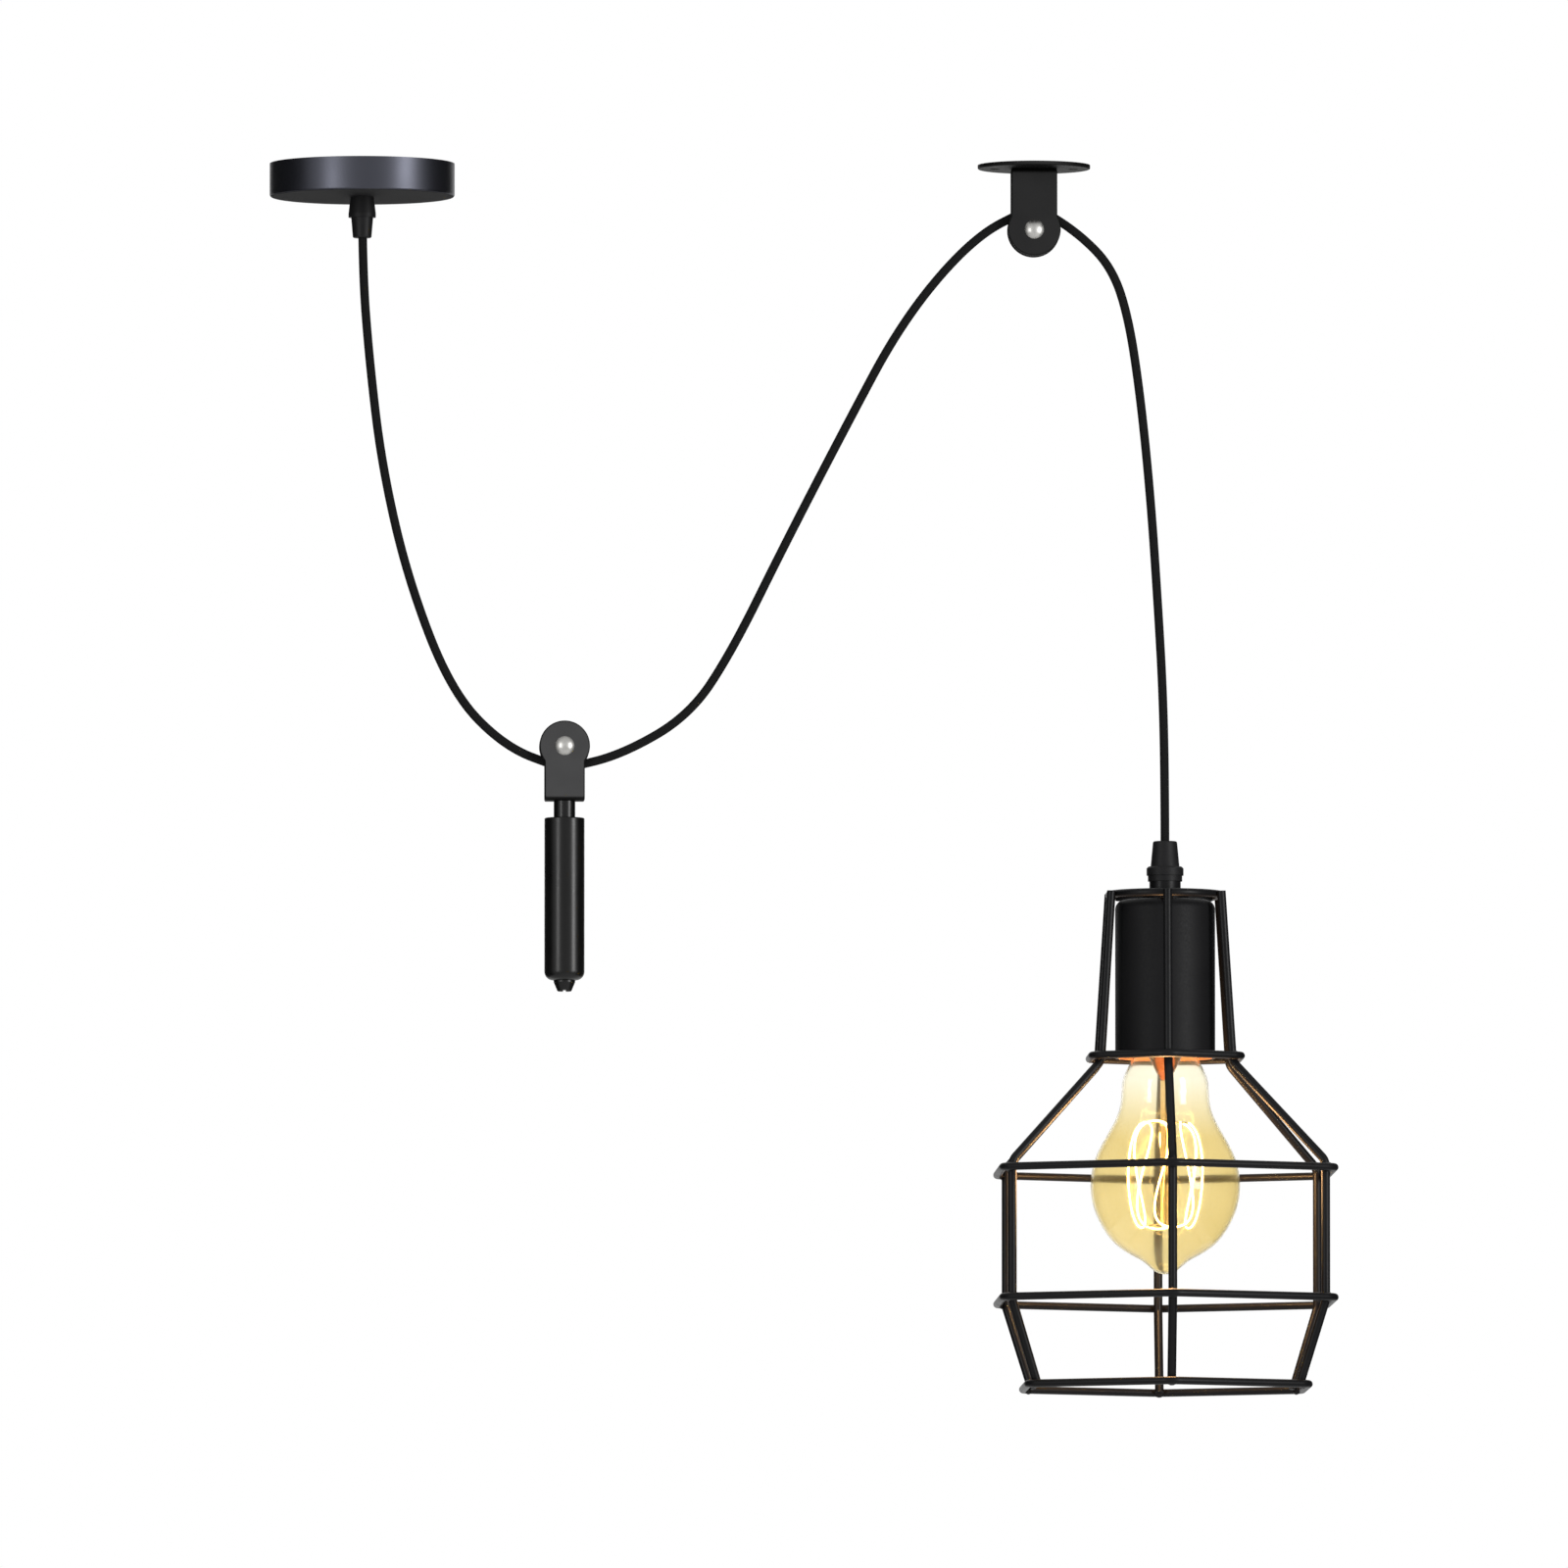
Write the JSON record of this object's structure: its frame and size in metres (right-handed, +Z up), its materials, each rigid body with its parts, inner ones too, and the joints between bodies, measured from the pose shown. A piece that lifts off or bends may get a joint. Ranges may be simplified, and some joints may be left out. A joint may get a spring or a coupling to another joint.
{
  "type": "adjustable pendant lamp",
  "caption": "Rise-and-fall ceiling lamp: a cord runs from a canopy under a counterweight's wheel and over a ceiling wheel to a caged filament bulb.",
  "frame": {"origin": "The middle of the mounting bar's ceiling face; the ceiling is the plane z = 0.", "axes": "+Z up, +X from the canopy towards the lamp, +Y away from the viewer of the front view."},
  "size_m": [0.4348, 0.1568, 0.5012],
  "materials": {
    "satin_black": "satin black powder coat",
    "yoke_black": "matte black paint",
    "yoke_grey": "matte dark grey paint",
    "gloss_black": "gloss black lacquer",
    "cord_textile": "black braided textile cover",
    "black_plastic": "black moulded plastic",
    "bright_pin": "polished nickel",
    "zinc_steel": "zinc plated steel",
    "wheel_nylon": "black nylon",
    "white_plastic": "white moulded plastic",
    "wire_insulation": "smooth coloured insulation",
    "holder_plastic": "black thermoset",
    "brass": "plain brass",
    "amber_glass": "clear amber-tinted blown glass",
    "stem_glass": "clear drawn glass",
    "insulator_black": "black vitreous insulator",
    "support_wire": "drawn wire",
    "filament_glow": "glowing filament"
  },
  "bodies": {
    "ceiling_fixings": {"canopy_cup": "satin_black", "mounting_bar": "zinc_steel", "canopy_nipple": "zinc_steel", "canopy_locknut": "zinc_steel", "canopy_grip_body": "black_plastic", "canopy_grip_cap": "black_plastic", "terminal_block": "white_plastic", "terminal_screws": "zinc_steel", "earth_screw": "zinc_steel", "canopy_wires": "wire_insulation", "ceiling_plate": "yoke_black", "ceiling_yoke": "yoke_black", "yoke_rivet": "zinc_steel", "ceiling_axle": "bright_pin", "ceiling_axle_cap": "bright_pin", "ceiling_washers": "zinc_steel", "cord_canopy_run": "cord_textile", "cord_middle_run": "cord_textile", "cord_lamp_run": "cord_textile"},
    "ceiling_wheel": {"ceiling_wheel": "wheel_nylon"},
    "counterweight": {"weight_yoke": "yoke_grey", "weight_axle": "bright_pin", "weight_axle_cap": "bright_pin", "weight_washers": "zinc_steel", "hanger_rod": "gloss_black", "rod_nut": "zinc_steel", "weight_body": "gloss_black", "weight_end_nut": "gloss_black"},
    "weight_wheel": {"weight_wheel": "wheel_nylon"},
    "lamp": {"lamp_grip_cap": "black_plastic", "lamp_grip_body": "black_plastic", "lamp_nipple": "zinc_steel", "lamp_collar": "satin_black", "cage_spider": "satin_black", "socket_cup": "satin_black", "holder_cap": "holder_plastic", "holder_body": "holder_plastic", "holder_shell": "brass", "holder_contact": "brass", "holder_screws": "zinc_steel", "lamp_wires": "wire_insulation", "cage_top_ring": "satin_black", "cage_neck_ring": "satin_black", "cage_shoulder_ring": "satin_black", "cage_waist_ring": "satin_black", "cage_bottom_ring": "satin_black", "cage_rib_front": "satin_black", "cage_rib_front_right": "satin_black", "cage_rib_back_right": "satin_black", "cage_rib_back": "satin_black", "cage_rib_back_left": "satin_black", "cage_rib_front_left": "satin_black", "bulb_glass": "amber_glass", "bulb_cap": "brass", "bulb_insulator": "insulator_black", "bulb_contact": "brass", "bulb_stem": "stem_glass", "filament_supports": "support_wire", "filament": "filament_glow"}
  },
  "joints": [
    {"name": "lamp_lift", "type": "slide", "parent": "ceiling_fixings", "child": "lamp", "axis": [0, 0, 1], "range_m": [-0.26, 0.15], "deforming": ["cord_lamp_run"]},
    {"name": "counterweight_travel", "type": "slide", "parent": "ceiling_fixings", "child": "counterweight", "axis": [0, 0, 1], "range_m": [-0.075, 0.13], "deforming": ["cord_canopy_run", "cord_middle_run"]},
    {"name": "ceiling_wheel_spin", "type": "hinge", "parent": "ceiling_fixings", "child": "ceiling_wheel", "pos_m": [0.2746, 0, -0.0266], "axis": [0, 1, 0], "continuous": true},
    {"name": "weight_wheel_spin", "type": "hinge", "parent": "counterweight", "child": "weight_wheel", "pos_m": [0.0828, 0, -0.2384], "axis": [0, 1, 0], "continuous": true}
  ],
  "couplings": [
    {"joint": "counterweight_travel", "follows": "lamp_lift", "ratio": -0.5},
    {"joint": "ceiling_wheel_spin", "follows": "lamp_lift", "rad_per_m": -113.64},
    {"joint": "weight_wheel_spin", "follows": "lamp_lift", "rad_per_m": 56.818}
  ]
}
